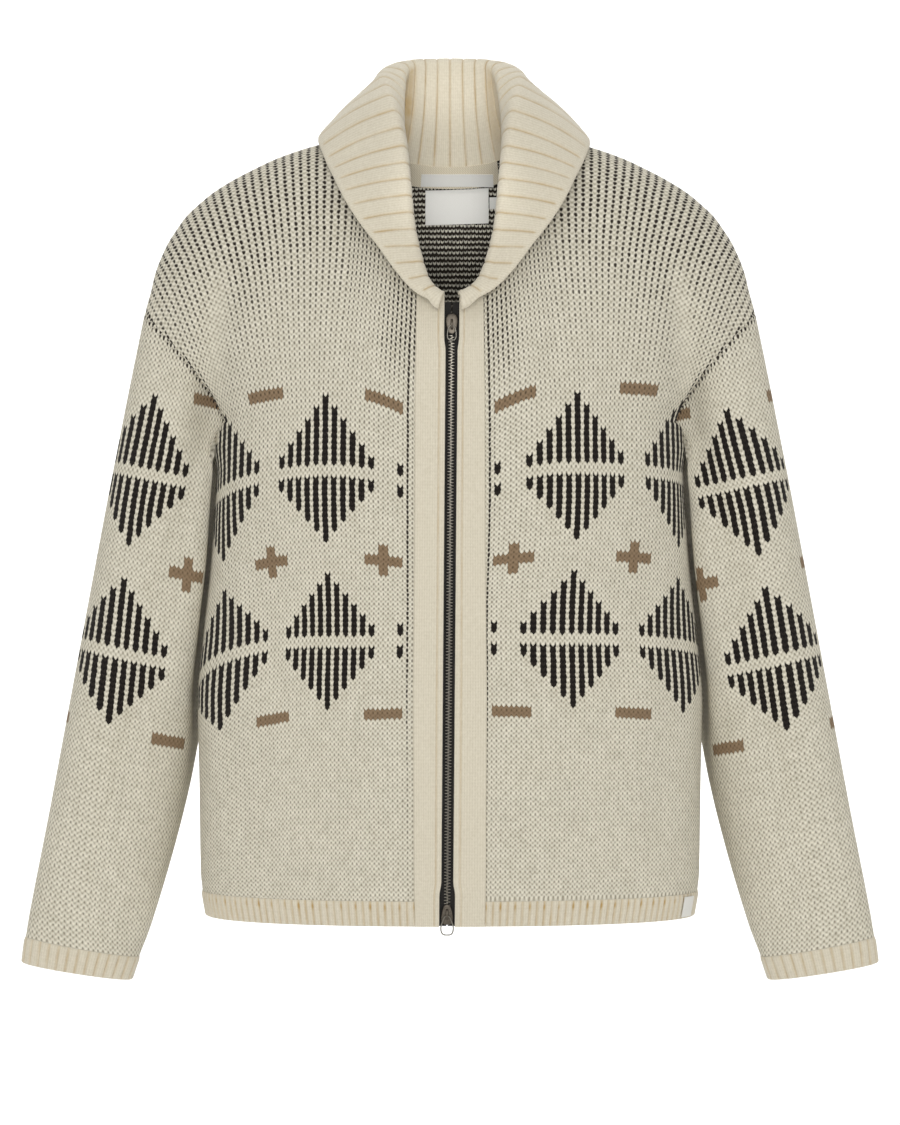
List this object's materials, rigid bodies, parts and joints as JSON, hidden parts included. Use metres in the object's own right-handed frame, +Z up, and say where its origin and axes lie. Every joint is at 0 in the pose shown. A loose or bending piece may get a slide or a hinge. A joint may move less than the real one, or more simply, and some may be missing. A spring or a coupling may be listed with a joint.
{
  "type": "zip cardigan",
  "caption": "Knitted cardigan with a turned-down rib shawl collar, two-way front zip and long sleeves, holding the hollow form of an unseen wearer.",
  "frame": {"origin": "midway between the shoulders, in the neck's hollow, on the plane of the shoulder seams", "axes": "+Z up, the front faces -Y, +X is the wearer's left"},
  "size_m": [0.7628, 0.249, 0.8272],
  "materials": {
    "two_colour_knit": "oat wool knit with dark stitches and a geometric repeat",
    "cream_rib_knit": "cream wool rib",
    "black_zip_tape": "woven black tape with metal teeth",
    "white_label_tape": "white woven tape",
    "gunmetal": "worn gunmetal plate"
  },
  "bodies": {
    "garment": {"front_left": "two_colour_knit", "front_right": "two_colour_knit", "back": "two_colour_knit", "sleeve_left": "two_colour_knit", "sleeve_right": "two_colour_knit", "cuff_left": "cream_rib_knit", "cuff_right": "cream_rib_knit", "hem_rib_front_left": "cream_rib_knit", "hem_rib_front_right": "cream_rib_knit", "hem_rib_back": "cream_rib_knit", "front_band_left": "cream_rib_knit", "front_band_right": "cream_rib_knit", "collar": "cream_rib_knit", "neck_tape": "cream_rib_knit", "neck_tape_label": "white_label_tape", "neck_label": "white_label_tape", "size_label": "white_label_tape", "hem_label": "white_label_tape", "zip_tape_left": "black_zip_tape", "zip_tape_right": "black_zip_tape", "zip_slider_top": "gunmetal", "zip_slider_bottom": "gunmetal"},
    "top_pull": {"zip_pull_top": "gunmetal"},
    "bottom_pull": {"zip_pull_bottom": "gunmetal"}
  },
  "joints": [
    {"name": "top_pull_swing", "type": "hinge", "parent": "garment", "child": "top_pull", "pos_m": [0.00154, -0.11777, -0.16448], "axis": [-1, 0, 0], "range_deg": [0, 110]},
    {"name": "bottom_pull_swing", "type": "hinge", "parent": "garment", "child": "bottom_pull", "pos_m": [-0.00252, -0.10901, -0.66978], "axis": [-1, 0, 0], "range_deg": [0, 110]}
  ]
}
